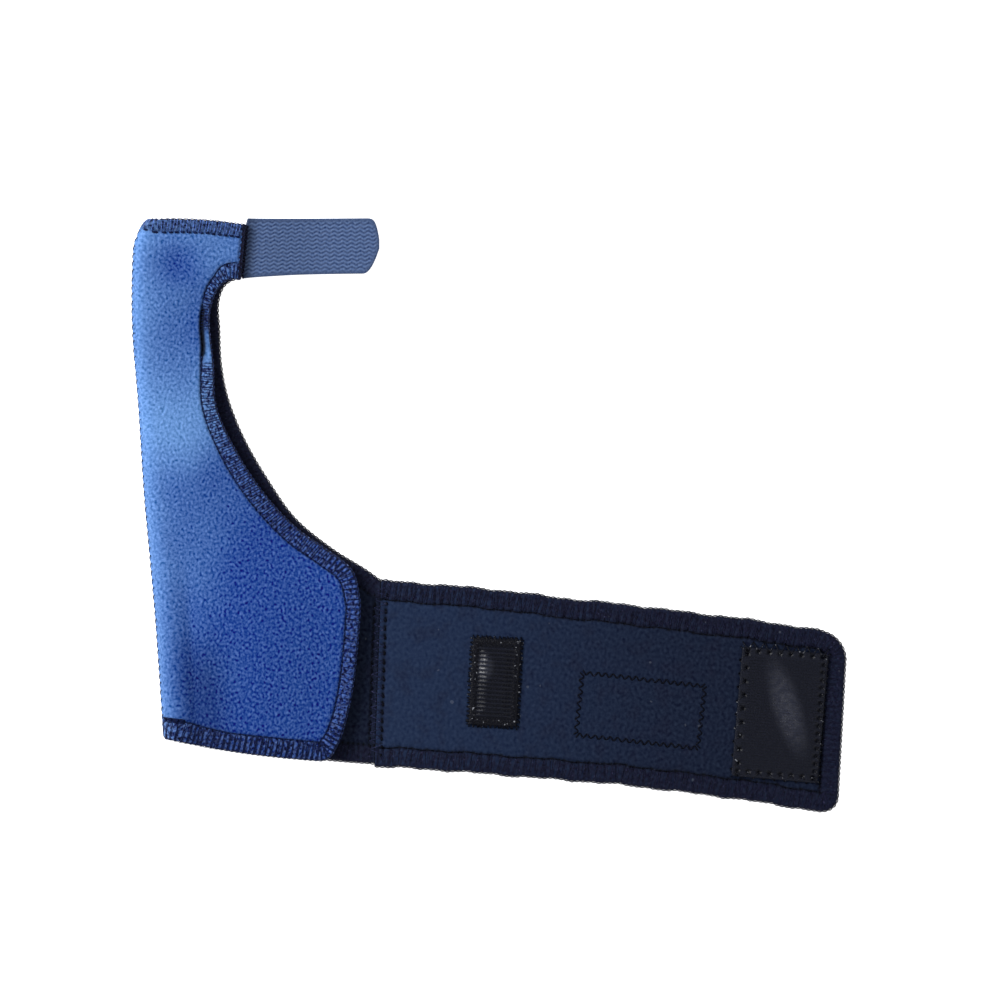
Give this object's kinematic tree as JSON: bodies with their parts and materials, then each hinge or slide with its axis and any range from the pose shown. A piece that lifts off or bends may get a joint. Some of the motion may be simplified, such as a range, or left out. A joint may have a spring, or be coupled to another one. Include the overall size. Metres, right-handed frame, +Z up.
{
  "type": "wrist thumb brace",
  "caption": "Soft wrap-round support for a wrist and thumb: a folded hand sleeve with a wide wrist strap, a narrow thumb strap and sewn hook patches, lying flat as stored.",
  "frame": {"origin": "on the table that the brace lies on, under the middle of the whole brace", "axes": "+X from the folded side seam towards the wrist strap's end, +Y from the wrist hem towards the thumb end, +Z up off the table"},
  "size_m": [0.3136, 0.2608, 0.0181],
  "materials": {
    "blue_loop_cloth": "royal blue brushed loop cloth on neoprene, with a soft nap",
    "navy_lining": "navy knitted lining on neoprene, matt, with overlocked edges",
    "thumb_webbing": "steel blue woven tape with a wavy rib along it",
    "hook_tape": "black nylon hook tape, slightly glossy"
  },
  "bodies": {
    "root": {"front_panel": "blue_loop_cloth", "back_panel": "navy_lining", "wrist_strap": "navy_lining", "thumb_strap": "thumb_webbing", "middle_hook_patch": "hook_tape", "end_hook_patch": "hook_tape"}
  },
  "joints": []
}
